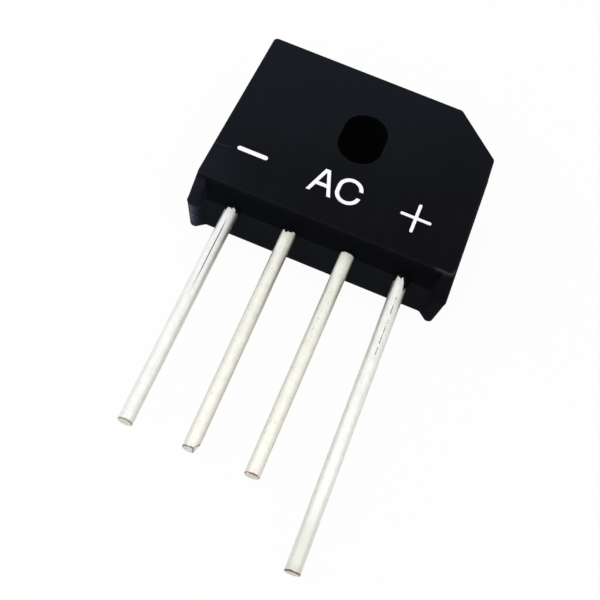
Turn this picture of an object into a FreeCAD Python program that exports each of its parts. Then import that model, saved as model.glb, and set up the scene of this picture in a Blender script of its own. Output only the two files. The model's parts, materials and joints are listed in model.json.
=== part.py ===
"""Bridge rectifier in a flat moulded case with four round leads, lying on its plain back.

All lengths are in millimetres. The frame has +Z out of the marked face, +Y from the leads to the far edge
and +X from the minus lead to the plus lead. The origin is on the back face, in the middle of the
mounting slot. The two halves of the mould met in the plane of the leads' axes, the parting plane.
Distances along Y are given from the recess floor, where the leads leave the case.
"""
import FreeCAD, Part
import math
import os
import Sketcher

os.makedirs("parts", exist_ok=True)
doc = FreeCAD.newDocument("rectifier")

# Driving dimensions: each real size is written once, and the sheet holds it under its name
SIZES = {
    # moulded case
    "case_width": 23.0,              # widest, at the parting plane
    "case_height": 17.4,             # recess floor to far edge, at the parting plane
    "case_thickness": 6.85,
    "parting_height": 3.85,          # back face to the plane of the leads
    "corner_cut": 4.1,               # length that the cut corner takes off each edge
    "front_inset_side": 0.40,        # how far the marked face stands in from the parting outline
    "front_inset_far": 0.30,
    "back_inset": 0.20,              # the same for the back face
    "foot_projection": 1.04,         # feet beyond the recess floor, at the parting plane
    "foot_back_projection": 0.55,    # feet beyond the recess floor, at the back face
    "foot_root": 10.15,              # middle of the case to where a foot's inner wall leaves the floor
    "foot_back_root": 9.95,          # the same at the back face
    "foot_taper": 0.35,              # how much narrower a foot is at its end than at its root
    "foot_back_taper": 0.70,
    "foot_root_radius": 0.45,        # round where a foot meets the recess floor
    "recess_lean": 0.06,             # how far the recess floor leans in, at each face
    "foot_corner_radius": 0.75,
    "foot_back_radius": 0.45,
    "far_corner_radius": 0.40,
    # mounting slot
    "slot_width": 3.84,
    "slot_length": 5.4,
    "slot_centre": 9.75,             # recess floor to the slot's middle
    # leads
    "lead_diameter": 1.25,
    "lead_seat": 0.10,               # length of round wire that the case covers
    "coined_length": 1.9,            # the rest of what the case holds is coined flat, so it can't turn
    "coined_width": 1.2,
    "coined_thickness": 1.0,
    "short_lead": 20.3,              # length outside the recess floor
    "long_lead": 25.4,
    "minus_lead_place": -7.70,       # where each lead leaves the case
    "ac_1_lead_place": -2.58,
    "ac_2_lead_place": 2.58,
    "plus_lead_place": 7.46,
    "minus_lead_splay": 1.2,         # degrees that each lead leans towards +X
    "ac_1_lead_splay": 1.0,
    "ac_2_lead_splay": 0.0,
    "plus_lead_splay": 0.5,
    # metal and dies inside
    "joint_gap": 0.125,              # solder between a lead and its plate or clip
    "joint_width": 1.0,
    "joint_margin": 0.1,             # end of the solder short of the coined end's
    "plate_thickness": 0.6,
    "plate_inner": 3.5,              # middle of the case to the near edge of a plate
    "plate_outer": 9.0,
    "plate_near": 2.2,               # recess floor to the near edge of a plate
    "plate_far": 15.8,
    "plate_corner": 1.3,             # length that the plus plate's cut corner takes off each edge
    "tongue_near": 0.8,              # recess floor to the tip of a plate's or clip's tongue
    "tongue_width": 1.8,
    "die_side": 2.8,
    "die_thickness": 0.3,
    "die_solder": 0.08,
    "die_place": 6.2,                # middle of the case to the middle of a die
    "near_die": 4.0,                 # recess floor to the middle of a die
    "far_die": 14.2,
    "clip_thickness": 0.4,
    "clip_width": 2.4,
    "clip_reach": 7.4,               # middle of the case to the end of a clip
    "clip_step": 0.4,                # length of the upright between a clip's two levels
    "leg_inner": 3.0,                # middle of the case to the leg that passes the slot
    "leg_width": 1.2,
    # printed marks
    "ink_thickness": 0.03,
    "mark_middle": 3.96,             # recess floor to the middle of every mark
    "mark_stroke": 0.34,
    "minus_stroke": 0.42,
    "plus_stroke": 0.28,
    "minus_mark_place": -7.82,       # middle of each mark
    "minus_mark_length": 2.70,
    "plus_mark_place": 6.62,
    "plus_mark_width": 2.70,
    "plus_mark_height": 3.00,
    "a_mark_place": -1.53,
    "a_mark_width": 2.14,
    "a_mark_height": 2.62,
    "a_top_width": 0.44,
    "a_foot_width": 0.32,
    "a_bar_drop": 0.34,              # crossbar of the A below the middle of the mark
    "c_mark_place": 0.77,
    "c_mark_width": 2.20,
    "c_mark_height": 2.72,
    "c_mark_gap": 0.70,
}

sheet = doc.addObject("Spreadsheet::Sheet", "dims")
for row, (alias, number) in enumerate(SIZES.items(), start=1):
    sheet.set("A%d" % row, alias)
    sheet.set("B%d" % row, str(number))
    sheet.setAlias("B%d" % row, alias)
doc.recompute()

# Heights and places that follow from the sizes, as expressions
PLATE_TOP = "dims.parting_height - dims.coined_thickness / 2 - dims.joint_gap"
PLATE_BOTTOM = PLATE_TOP + " - dims.plate_thickness"
DIE_BOTTOM = PLATE_TOP + " + dims.die_solder"
DIE_TOP = DIE_BOTTOM + " + dims.die_thickness"
CLIP_BOTTOM = DIE_TOP + " + dims.die_solder"
UPPER_JOINT_BOTTOM = "dims.parting_height + dims.coined_thickness / 2"
UPPER_CLIP_BOTTOM = UPPER_JOINT_BOTTOM + " + dims.joint_gap"
COINED_END = "dims.lead_seat + dims.coined_length"


def value(expression):
    """Works an expression out as a plain number, for the first guess of a sketch."""
    answer = sheet.evalExpression(expression)
    return float(getattr(answer, "Value", answer))


def bind(thing, **expressions):
    """Ties properties of an object to expressions; two underscores in a name stand for a dot."""
    for name, expression in expressions.items():
        thing.setExpression(name.replace("__", "."), expression)
    return thing


def from_slot(y):
    """Turns a distance from the recess floor into one from the origin at the slot's middle."""
    return "(%s) - dims.slot_centre" % y


def place(thing, x, y, z):
    """Ties an object's position to three expressions, with y given from the recess floor."""
    return bind(thing, Placement__Base__x=x, Placement__Base__y=from_slot(y), Placement__Base__z=z)


# Sketches

def new_body(name):
    """Starts an empty body with this label."""
    body = doc.addObject("PartDesign::Body", name)
    body.Label = name
    return body


def new_sketch(body, name, height):
    """Puts a sketch on the body's XY plane, raised by an expression."""
    sketch = body.newObject("Sketcher::SketchObject", name)
    base_plane = [f for f in body.Origin.OriginFeatures if f.Role == "XY_Plane"][0]
    sketch.AttachmentSupport = [(base_plane, "")]
    sketch.MapMode = "FlatFace"
    sketch.setExpression("AttachmentOffset.Base.z", height)
    return sketch


def fix_point(sketch, index, end, x, y):
    """Holds one point of a sketch at two expressions, with y given from the recess floor."""
    for kind, expression in (("DistanceX", x), ("DistanceY", from_slot(y))):
        distance = value(expression)
        if distance < 0:
            row = sketch.addConstraint(Sketcher.Constraint(kind, index, end, -1, 1, -distance))
            sketch.setExpression("Constraints[%d]" % row, "-(%s)" % expression)
        else:
            row = sketch.addConstraint(Sketcher.Constraint(kind, -1, 1, index, end, distance))
            sketch.setExpression("Constraints[%d]" % row, expression)


def rounded_polygon(sketch, corners):
    """Draws a closed outline with a rounded corner at each (x, y, radius), listed anticlockwise."""
    points = [FreeCAD.Vector(value(x), value(from_slot(y)), 0) for x, y, _ in corners]
    radii = [value(radius) for _, _, radius in corners]
    count = len(points)
    starts, ends, centres = [], [], []
    for i, corner in enumerate(points):
        back = (points[i - 1] - corner).normalize()
        ahead = (points[(i + 1) % count] - corner).normalize()
        half_angle = back.getAngle(ahead) / 2
        reach = radii[i] / math.tan(half_angle)
        starts.append(corner + back * reach)
        ends.append(corner + ahead * reach)
        centres.append(corner + (back + ahead).normalize() * (radii[i] / math.sin(half_angle)))
    lines, arcs, anchors = [], [], []
    for i in range(count):
        first = starts[i] - centres[i]
        last = ends[i] - centres[i]
        circle = Part.Circle(centres[i], FreeCAD.Vector(0, 0, 1), radii[i])
        sweep = Part.ArcOfCircle(circle, math.atan2(first.y, first.x), math.atan2(last.y, last.x))
        arcs.append(sketch.addGeometry(sweep, False))
        lines.append(sketch.addGeometry(Part.LineSegment(ends[i], starts[(i + 1) % count]), False))
        anchors.append(sketch.addGeometry(Part.Point(points[i]), True))
    for i in range(count):
        following = (i + 1) % count
        fix_point(sketch, anchors[i], 1, corners[i][0], corners[i][1])
        sketch.addConstraint(Sketcher.Constraint("Tangent", arcs[i], 2, lines[i], 1))
        sketch.addConstraint(Sketcher.Constraint("Tangent", lines[i], 2, arcs[following], 1))
        sketch.addConstraint(Sketcher.Constraint("PointOnObject", anchors[i], 1, lines[i]))
        sketch.addConstraint(Sketcher.Constraint("PointOnObject", anchors[following], 1, lines[i]))
        row = sketch.addConstraint(Sketcher.Constraint("Radius", arcs[i], radii[i]))
        sketch.setExpression("Constraints[%d]" % row, corners[i][2])


def slot_outline(sketch, x, middle, width, length):
    """Draws a slot with half-round ends that stands along Y, from expressions."""
    radius = value(width) / 2
    reach = value(length) / 2 - radius
    upper = FreeCAD.Vector(value(x), value(from_slot(middle)) + reach, 0)
    lower = FreeCAD.Vector(value(x), value(from_slot(middle)) - reach, 0)
    side = FreeCAD.Vector(radius, 0, 0)
    up = FreeCAD.Vector(0, 0, 1)
    top_arc = sketch.addGeometry(Part.ArcOfCircle(Part.Circle(upper, up, radius), 0, math.pi), False)
    bottom_arc = sketch.addGeometry(Part.ArcOfCircle(Part.Circle(lower, up, radius), math.pi, 2 * math.pi), False)
    left = sketch.addGeometry(Part.LineSegment(upper - side, lower - side), False)
    right = sketch.addGeometry(Part.LineSegment(lower + side, upper + side), False)
    reach_text = "((%s) - (%s)) / 2" % (length, width)
    fix_point(sketch, top_arc, 3, x, "(%s) + %s" % (middle, reach_text))
    fix_point(sketch, bottom_arc, 3, x, "(%s) - %s" % (middle, reach_text))
    sketch.addConstraint(Sketcher.Constraint("Tangent", top_arc, 2, left, 1))
    sketch.addConstraint(Sketcher.Constraint("Tangent", left, 2, bottom_arc, 1))
    sketch.addConstraint(Sketcher.Constraint("Tangent", bottom_arc, 2, right, 1))
    sketch.addConstraint(Sketcher.Constraint("Coincident", right, 2, top_arc, 1))
    row = sketch.addConstraint(Sketcher.Constraint("Radius", top_arc, radius))
    sketch.setExpression("Constraints[%d]" % row, "(%s) / 2" % width)


def cut_through(body, sketch, length):
    """Cuts a sketch upward through the body, over a length given as an expression."""
    pocket = body.newObject("PartDesign::Pocket", sketch.Name + "_cut")
    pocket.Profile = sketch
    pocket.Reversed = True
    bind(pocket, Length=length)
    return pocket


# Moulded case

def case_corners(side_inset, far_inset, foot_edge, foot_radius):
    """Lists the case outline's corners at one height, for its insets and the ends of its feet."""
    right = "dims.case_width / 2 - " + side_inset
    left = "-dims.case_width / 2 + " + side_inset
    far = "dims.case_height - " + far_inset
    corner = "dims.far_corner_radius"
    return [
        (left, foot_edge, foot_radius),
        (right, foot_edge, foot_radius),
        (right, far + " - dims.corner_cut", corner),
        (right + " - dims.corner_cut", far, corner),
        (left, far, corner),
    ]


def recess_corners(floor, root, taper, projection):
    """Lists the corners of the recess between the feet at one height, drawn out to three foot lengths."""
    outside = "-%s * 3" % projection
    mouth = "(%s + %s * 3)" % (root, taper)
    rounding = "dims.foot_root_radius"
    return [
        ("-" + mouth, outside, rounding),
        (mouth, outside, rounding),
        (root, floor, rounding),
        ("-" + root, floor, rounding),
    ]


def loft(body, kind, name, first, second):
    """Joins two sketches of a body by straight lines, adding or taking away the space between."""
    feature = body.newObject("PartDesign::" + kind, name)
    feature.Profile = first
    feature.Sections = [second]
    feature.Ruled = True
    return feature


case = new_body("case_blank")
OUTLINES = {
    "back": ("0", case_corners("dims.back_inset", "dims.back_inset", "-dims.foot_back_projection",
                               "dims.foot_back_radius")),
    "parting": ("dims.parting_height", case_corners("0", "0", "-dims.foot_projection",
                                                    "dims.foot_corner_radius")),
    "front": ("dims.case_thickness", case_corners("dims.front_inset_side", "dims.front_inset_far",
                                                  "dims.recess_lean", "dims.foot_corner_radius")),
}
MAIN_FOOT = ("dims.foot_root", "dims.foot_taper", "dims.foot_projection")
BACK_FOOT = ("dims.foot_back_root", "dims.foot_back_taper", "dims.foot_back_projection")
RECESSES = {
    "back": ("0", recess_corners("dims.recess_lean", *BACK_FOOT)),
    "parting": ("dims.parting_height", recess_corners("0", *MAIN_FOOT)),
    "front": ("dims.case_thickness", recess_corners("dims.recess_lean", *MAIN_FOOT)),
}


def sketches_of(body, prefix, levels):
    """Draws one rounded outline at each named level and returns them by name."""
    drawn = {}
    for level, (height, corners) in levels.items():
        drawn[level] = new_sketch(body, prefix + "_" + level, height)
        rounded_polygon(drawn[level], corners)
    return drawn


outlines = sketches_of(case, "outline", OUTLINES)
doc.recompute()
loft(case, "AdditiveLoft", "back_half", outlines["parting"], outlines["back"])
loft(case, "AdditiveLoft", "front_half", outlines["parting"], outlines["front"])
doc.recompute()
recesses = sketches_of(case, "recess", RECESSES)
doc.recompute()
loft(case, "SubtractiveLoft", "back_recess", recesses["parting"], recesses["back"])
loft(case, "SubtractiveLoft", "front_recess", recesses["parting"], recesses["front"])
slot_sketch = new_sketch(case, "mounting_slot", "0")
slot_outline(slot_sketch, "0", "dims.slot_centre", "dims.slot_width", "dims.slot_length")
cut_through(case, slot_sketch, "dims.case_thickness")
doc.recompute()


# Leads

def block(name, x, y, z, length, width, height):
    """Makes a box from its low corner and its sides along X, Y and Z, all expressions."""
    box = doc.addObject("Part::Box", name)
    box.Label = name
    bind(box, Length=length, Width=width, Height=height)
    return place(box, x, y, z)


def joined(name, shapes):
    """Fuses shapes into one node."""
    whole = doc.addObject("Part::MultiFuse", name)
    whole.Label = name
    whole.Shapes = shapes
    whole.Refine = True
    return whole


def lead_point(place_alias, splay, inward, aside, height):
    """Gives a point by a lead, from its distance into the case, its distance to the left and its height."""
    x = "dims.%s - sin(%s) * (%s) - cos(%s) * (%s)" % (place_alias, splay, inward, splay, aside)
    y = from_slot("cos(%s) * (%s) - sin(%s) * (%s)" % (splay, inward, splay, aside))
    return "vector(%s; %s; %s)" % (x, y, height)


def make_lead(name, place_alias, splay_alias, length_alias):
    """Makes one round lead that leaves the case in the parting plane, leaning by its splay."""
    splay = "dims." + splay_alias
    wire = doc.addObject("Part::Cylinder", name + "_wire")
    bind(wire, Radius="dims.lead_diameter / 2", Height="dims.lead_seat + dims." + length_alias)
    start = lead_point(place_alias, splay, "dims.lead_seat", "0", "dims.parting_height")
    wire.setExpression("Placement", "placement(%s; rotation(%s; 0; 90))" % (start, splay))
    coined = doc.addObject("Part::Box", name + "_coined")
    bind(coined, Length="dims.coined_width", Width="dims.coined_length", Height="dims.coined_thickness")
    corner = lead_point(place_alias, splay, "dims.lead_seat", "dims.coined_width / 2",
                        "dims.parting_height - dims.coined_thickness / 2")
    coined.setExpression("Placement", "placement(%s; rotation(%s; 0; 0))" % (corner, splay))
    return joined(name, [wire, coined])


lead_minus = make_lead("lead_minus", "minus_lead_place", "minus_lead_splay", "short_lead")
lead_ac_1 = make_lead("lead_ac_1", "ac_1_lead_place", "ac_1_lead_splay", "short_lead")
lead_ac_2 = make_lead("lead_ac_2", "ac_2_lead_place", "ac_2_lead_splay", "short_lead")
lead_plus = make_lead("lead_plus", "plus_lead_place", "plus_lead_splay", "long_lead")


# Metal and dies inside the case

def tongue(name, lead_place, z, thickness, far):
    """Makes the strip that reaches from a plate or clip to its lead."""
    x = "dims.%s - dims.tongue_width / 2" % lead_place
    return block(name, x, "dims.tongue_near", z, "dims.tongue_width", far + " - dims.tongue_near", thickness)


def plate_pad(name, x):
    """Makes the flat pad of a carrier plate, which holds two dies."""
    return block(name, x, "dims.plate_near", PLATE_BOTTOM, "dims.plate_outer - dims.plate_inner",
                 "dims.plate_far - dims.plate_near", "dims.plate_thickness")


def without_corner(name, pad):
    """Cuts the plus plate's far corner off at 45 degrees, to keep it clear of the case's cut corner."""
    cutter = doc.addObject("Part::Box", name + "_corner")
    bind(cutter, Length="dims.plate_corner * sqrt(2)", Width="dims.plate_corner",
         Height="dims.plate_thickness")
    start = "vector(dims.plate_outer - dims.plate_corner; %s; %s)" % (from_slot("dims.plate_far"), PLATE_BOTTOM)
    cutter.setExpression("Placement", "placement(%s; rotation(-45; 0; 0))" % start)
    clipped = doc.addObject("Part::Cut", name)
    clipped.Base = pad
    clipped.Tool = cutter
    return clipped


def make_plate(name, pad, lead_place):
    """Makes a carrier plate from its pad and a tongue under its lead."""
    strip = tongue(name + "_tongue", lead_place, PLATE_BOTTOM, "dims.plate_thickness", "dims.plate_near")
    return joined(name, [pad, strip])


plate_minus = make_plate("plate_minus", plate_pad("plate_minus_pad", "-dims.plate_outer"),
                         "minus_lead_place")
plate_plus_pad = without_corner("plate_plus_clipped", plate_pad("plate_plus_pad", "dims.plate_inner"))
plate_plus = make_plate("plate_plus", plate_plus_pad, "plus_lead_place")


def clip_strip(name, die_middle):
    """Makes the flat strip of a clip that lies across two dies."""
    return block(name, "-dims.clip_reach", die_middle + " - dims.clip_width / 2", CLIP_BOTTOM,
                 "dims.clip_reach * 2", "dims.clip_width", "dims.clip_thickness")


def riser(name, x, y, width):
    """Makes the upright that joins a clip's two levels."""
    return block(name, x, y, CLIP_BOTTOM, width, "dims.clip_step",
                 UPPER_CLIP_BOTTOM + " + dims.clip_thickness - (" + CLIP_BOTTOM + ")")


def make_clip_ac_1():
    """Makes the clip that passes below the slot, with its tongue over its lead."""
    near_edge = "dims.near_die - dims.clip_width / 2"
    left = "dims.ac_1_lead_place - dims.tongue_width / 2"
    strip = clip_strip("clip_ac_1_strip", "dims.near_die")
    upright = riser("clip_ac_1_riser", left, near_edge, "dims.tongue_width")
    upper = tongue("clip_ac_1_tongue", "ac_1_lead_place", UPPER_CLIP_BOTTOM, "dims.clip_thickness",
                   near_edge + " + dims.clip_step")
    return joined("clip_ac_1", [strip, upright, upper])


def make_clip_ac_2():
    """Makes the clip that passes beyond the slot, with a leg beside the slot to its lead."""
    near_edge = "dims.far_die - dims.clip_width / 2"
    strip = clip_strip("clip_ac_2_strip", "dims.far_die")
    upright = riser("clip_ac_2_riser", "dims.leg_inner", near_edge, "dims.leg_width")
    leg = block("clip_ac_2_leg", "dims.leg_inner", "dims.tongue_near", UPPER_CLIP_BOTTOM,
                "dims.leg_width", near_edge + " + dims.clip_step - dims.tongue_near", "dims.clip_thickness")
    upper = tongue("clip_ac_2_tongue", "ac_2_lead_place", UPPER_CLIP_BOTTOM, "dims.clip_thickness",
                   "dims.plate_near")
    return joined("clip_ac_2", [strip, upright, leg, upper])


clip_ac_1 = make_clip_ac_1()
clip_ac_2 = make_clip_ac_2()


def make_die_stack(number, x, middle):
    """Makes one die with the solder layers under and over it."""
    half = " - dims.die_side / 2"
    layers = (
        ("die_solder_%d_lower" % number, "dims.die_side", PLATE_TOP, "dims.die_solder"),
        ("die_%d" % number, "dims.die_side", DIE_BOTTOM, "dims.die_thickness"),
        ("die_solder_%d_upper" % number, "dims.clip_width", DIE_TOP, "dims.die_solder"),
    )
    made = []
    for name, depth, z, thickness in layers:
        low_edge = middle + " - " + depth + " / 2"
        made.append(block(name, x + half, low_edge, z, "dims.die_side", depth, thickness))
    # the upper clip ends before the die's outer edge, so its solder is only as long as their overlap
    overlap = "dims.clip_reach - dims.die_place + dims.die_side / 2"
    made[2].setExpression("Length", overlap)
    if value(x) < 0:
        made[2].setExpression("Placement.Base.x", "-dims.clip_reach")
    return made


dies = []
DIE_PLACES = [(x, y) for x in ("-dims.die_place", "dims.die_place") for y in ("dims.near_die", "dims.far_die")]
for number, (x, middle) in enumerate(DIE_PLACES, start=1):
    dies.extend(make_die_stack(number, x, middle))


def make_joint(name, lead_place, z):
    """Makes the flat solder layer between a lead's coined end and the metal below or above it."""
    return block(name, "dims.%s - dims.joint_width / 2" % lead_place, "dims.tongue_near", z,
                 "dims.joint_width", COINED_END + " - dims.joint_margin - dims.tongue_near", "dims.joint_gap")


joints = [
    make_joint("joint_minus", "minus_lead_place", PLATE_TOP),
    make_joint("joint_ac_1", "ac_1_lead_place", UPPER_JOINT_BOTTOM),
    make_joint("joint_ac_2", "ac_2_lead_place", UPPER_JOINT_BOTTOM),
    make_joint("joint_plus", "plus_lead_place", PLATE_TOP),
]

# The case is the blank less everything that it was moulded round
held = joined("held_parts", [lead_minus, lead_ac_1, lead_ac_2, lead_plus, plate_minus, plate_plus,
                             clip_ac_1, clip_ac_2] + dies + joints)
held.Refine = False
moulded_body = doc.addObject("Part::Cut", "moulded_body")
moulded_body.Label = "moulded_body"
moulded_body.Base = case
moulded_body.Tool = held


# Printed marks, thin ink on the marked face

def round_bar(name, x0, y0, x1, y1, width):
    """Makes a bar of ink with half-round ends about the line from one point to another."""
    across, along = "((%s) - (%s))" % (x1, x0), "((%s) - (%s))" % (y1, y0)
    length = "hypot(%s; %s)" % (across, along)
    angle = "atan2(%s; %s)" % (along, across)
    bar = doc.addObject("Part::Box", name + "_bar")
    bind(bar, Length=length, Width=width, Height="dims.ink_thickness")
    corner_x = "%s + sin(%s) * %s / 2" % (x0, angle, width)
    corner_y = from_slot("%s - cos(%s) * %s / 2" % (y0, angle, width))
    corner = "vector(%s; %s; dims.case_thickness)" % (corner_x, corner_y)
    bar.setExpression("Placement", "placement(%s; rotation(%s; 0; 0))" % (corner, angle))
    shapes = [bar]
    for end, (x, y) in enumerate(((x0, y0), (x1, y1))):
        cap = doc.addObject("Part::Cylinder", "%s_cap_%d" % (name, end))
        bind(cap, Radius=width + " / 2", Height="dims.ink_thickness")
        shapes.append(place(cap, x, y, "dims.case_thickness"))
    return joined(name, shapes)


def mark_span(place_alias, size_alias, stroke_alias, sign):
    """Gives the end of a stroke's middle line on one side of a mark."""
    return "dims.%s %s (dims.%s - dims.%s) / 2" % (place_alias, sign, size_alias, stroke_alias)


minus_left = mark_span("minus_mark_place", "minus_mark_length", "minus_stroke", "-")
minus_right = mark_span("minus_mark_place", "minus_mark_length", "minus_stroke", "+")
mark_minus = round_bar("mark_minus", minus_left, "dims.mark_middle", minus_right, "dims.mark_middle",
                       "dims.minus_stroke")

plus_level = round_bar("plus_level", mark_span("plus_mark_place", "plus_mark_width", "plus_stroke", "-"),
                       "dims.mark_middle",
                       mark_span("plus_mark_place", "plus_mark_width", "plus_stroke", "+"),
                       "dims.mark_middle", "dims.plus_stroke")
plus_upright = round_bar("plus_upright", "dims.plus_mark_place",
                         mark_span("mark_middle", "plus_mark_height", "plus_stroke", "-"),
                         "dims.plus_mark_place",
                         mark_span("mark_middle", "plus_mark_height", "plus_stroke", "+"),
                         "dims.plus_stroke")
mark_plus = joined("mark_plus", [plus_level, plus_upright])


def ink_polygon(body, name, corners):
    """Draws a straight-sided outline on the marked face; y is given from the recess floor."""
    sketch = new_sketch(body, name, "dims.case_thickness")
    points = [FreeCAD.Vector(value(x), value(from_slot(y)), 0) for x, y in corners]
    lines = []
    for i, point in enumerate(points):
        lines.append(sketch.addGeometry(Part.LineSegment(point, points[(i + 1) % len(points)]), False))
    for i, (x, y) in enumerate(corners):
        sketch.addConstraint(Sketcher.Constraint("Coincident", lines[i - 1], 2, lines[i], 1))
        fix_point(sketch, lines[i], 1, x, y)
    return sketch


def ink_pad(body, sketch):
    """Lays one thickness of ink over a sketch."""
    pad = body.newObject("PartDesign::Pad", sketch.Name + "_pad")
    pad.Profile = sketch
    return bind(pad, Length="dims.ink_thickness")


def make_mark_a():
    """Makes the A from its outer outline, less the space under its crossbar and the one above it."""
    bottom = "(dims.mark_middle - dims.a_mark_height / 2)"
    top = "(dims.mark_middle + dims.a_mark_height / 2)"
    slope = "((dims.a_mark_width - dims.a_top_width) / 2 / dims.a_mark_height)"
    inner_foot = "(dims.a_mark_width / 2 - dims.a_foot_width)"

    def pair(half, y):
        """Gives the two points at one height, right then left of the letter's middle."""
        return [("dims.a_mark_place + " + half, y), ("dims.a_mark_place - " + half, y)]

    def inner_half(y):
        """Gives half the width between the legs at one height."""
        return "(%s - %s * (%s - %s))" % (inner_foot, slope, y, bottom)

    under = "(%s - dims.mark_stroke)" % bottom
    bar_bottom = "(dims.mark_middle - dims.a_bar_drop - dims.mark_stroke / 2)"
    bar_top = "(dims.mark_middle - dims.a_bar_drop + dims.mark_stroke / 2)"
    peak = "(%s + %s / %s)" % (bottom, inner_foot, slope)
    body = new_body("mark_a")
    outer = pair("dims.a_top_width / 2", top) + pair("dims.a_mark_width / 2", bottom)[::-1]
    ink_pad(body, ink_polygon(body, "a_outer", outer))
    below = pair(inner_half(bar_bottom), bar_bottom) + pair(inner_half(under), under)[::-1]
    cut_through(body, ink_polygon(body, "a_below_bar", below), "dims.ink_thickness")
    above = pair(inner_half(bar_top), bar_top) + [("dims.a_mark_place", peak)]
    cut_through(body, ink_polygon(body, "a_above_bar", above), "dims.ink_thickness")
    return body


mark_a = make_mark_a()


def ink_slot(name, width, length):
    """Makes a flat slot-shaped patch of ink where the C stands."""
    body = new_body(name)
    sketch = new_sketch(body, name + "_outline", "dims.case_thickness")
    slot_outline(sketch, "dims.c_mark_place", "dims.mark_middle", width, length)
    ink_pad(body, sketch)
    return body


c_outer = ink_slot("c_outer", "dims.c_mark_width", "dims.c_mark_height")
c_inner = ink_slot("c_inner", "dims.c_mark_width - 2 * dims.mark_stroke",
                   "dims.c_mark_height - 2 * dims.mark_stroke")
c_gap = block("c_gap", "dims.c_mark_place", "dims.mark_middle - dims.c_mark_gap / 2",
              "dims.case_thickness - dims.ink_thickness", "dims.c_mark_width", "dims.c_mark_gap",
              "dims.ink_thickness * 3")
c_space = joined("c_space", [c_inner, c_gap])
mark_c = doc.addObject("Part::Cut", "mark_c")
mark_c.Label = "mark_c"
mark_c.Base = c_outer
mark_c.Tool = c_space

doc.recompute()

# Check every object, then write one file for each node
NODES = [moulded_body, lead_minus, lead_ac_1, lead_ac_2, lead_plus, plate_minus, plate_plus, clip_ac_1,
         clip_ac_2] + dies + joints + [mark_minus, mark_a, mark_c, mark_plus]
for item in doc.Objects:
    if "Invalid" in item.State or "Error" in item.State:
        raise RuntimeError("%s has an error: %s" % (item.Label, item.State))
for node in NODES:
    if node.Shape.isNull() or not node.Shape.isValid() or len(node.Shape.Solids) != 1:
        raise RuntimeError("%s is not one valid solid" % node.Label)
    node.Shape.exportStep("parts/%s.step" % node.Label)
    print("%-22s %9.3f mm3" % (node.Label, node.Shape.Volume))
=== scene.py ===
"""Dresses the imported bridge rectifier: a black moulded case with a cut corner, four tinned leads and
printed polarity marks, lying on its back on a pale studio floor.

The shapes are worked out in millimetres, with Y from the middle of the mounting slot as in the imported
model, and turned into metres when a mesh is made.
"""
import json
import math

import bmesh
import bpy
import numpy as np
from mathutils import Matrix, Vector


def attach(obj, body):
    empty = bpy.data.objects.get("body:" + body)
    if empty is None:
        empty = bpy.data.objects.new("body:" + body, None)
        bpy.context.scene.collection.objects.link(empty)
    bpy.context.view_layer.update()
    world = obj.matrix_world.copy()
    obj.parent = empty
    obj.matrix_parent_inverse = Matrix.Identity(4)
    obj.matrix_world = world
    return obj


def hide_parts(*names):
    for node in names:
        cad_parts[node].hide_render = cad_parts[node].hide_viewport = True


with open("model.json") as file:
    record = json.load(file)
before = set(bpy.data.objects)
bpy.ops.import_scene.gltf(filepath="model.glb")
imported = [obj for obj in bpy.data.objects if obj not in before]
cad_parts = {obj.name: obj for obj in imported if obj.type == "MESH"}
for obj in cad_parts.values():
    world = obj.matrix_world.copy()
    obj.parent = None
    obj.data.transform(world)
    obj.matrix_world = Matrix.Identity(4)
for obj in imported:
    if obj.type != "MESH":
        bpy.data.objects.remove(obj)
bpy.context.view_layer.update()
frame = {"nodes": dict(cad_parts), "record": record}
MM = 0.001

# Sizes of the real part in millimetres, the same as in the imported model
CASE_WIDTH = 23.0
CASE_HEIGHT = 17.4
CASE_THICKNESS = 6.85
PARTING_HEIGHT = 3.85
CORNER_CUT = 4.1
FRONT_INSET_SIDE = 0.40
FRONT_INSET_FAR = 0.30
BACK_INSET = 0.20
FOOT_PROJECTION = 1.04
FOOT_BACK_PROJECTION = 0.55
FOOT_ROOT = 10.15
FOOT_BACK_ROOT = 9.95
FOOT_TAPER = 0.35
FOOT_BACK_TAPER = 0.70
FOOT_ROOT_RADIUS = 0.45
FAR_CORNER_RADIUS = 0.40
RECESS_LEAN = 0.06
SLOT_WIDTH = 3.84
SLOT_LENGTH = 5.4
SLOT_CENTRE = 9.75
LEAD_RADIUS = 0.625
LEAD_SEAT = 0.10
COINED_LENGTH = 1.9
COINED_WIDTH = 1.2
COINED_THICKNESS = 1.0

# Small shapes that only the looks need
FOOT_TIP_RADIUS = 0.30
FOOT_CORNER_RADIUS = 0.48
FOOT_BACK_RADIUS = 0.42
FRONT_EDGE_RADIUS = 0.11
BACK_EDGE_RADIUS = 0.14
SLOT_EDGE_RADIUS = 0.10
PARTING_RIDGE = 0.022
PARTING_RIDGE_WIDTH = 0.055
SUPPORT = 0.03            # from a rounded edge to the row of points that holds the flat face beside it
BACK_RING_INSET = 0.36    # from the case's edge to the ring on its back where the rays to the slot begin
BACK_RING_LINE = 0.50     # from the recess floor to that ring's straight lower side
WIRE_RIM_RADIUS = 0.045   # round at the edge of a lead's cut end
LEAD_THINNING = 0.07      # share of its radius that a lead's coat loses on the way to its tip
QUARTER_TURN = np.linspace(0, math.pi / 2, 6)

# Each lead: node, place along the recess, lean towards +X in degrees, length outside the case
LEADS = (
    ("lead_minus", -7.70, 1.2, 20.3),
    ("lead_ac_1", -2.58, 1.0, 20.3),
    ("lead_ac_2", 2.58, 0.0, 20.3),
    ("lead_plus", 7.46, 0.5, 25.4),
)

# Each lead's cut end: where the cutters left a ridge, as a share of the radius to the right, then how far
# the end falls back to the left and to the right of it, and how far its top overhangs, per millimetre
CUTS = (
    (0.0, 0.0, -0.03, 0.0),
    (0.42, 0.0, 2.00, 0.0),
    (0.0, -0.04, 0.05, 0.02),
    (0.0, -0.03, 0.06, 0.03),
)


# Meshes

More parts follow.
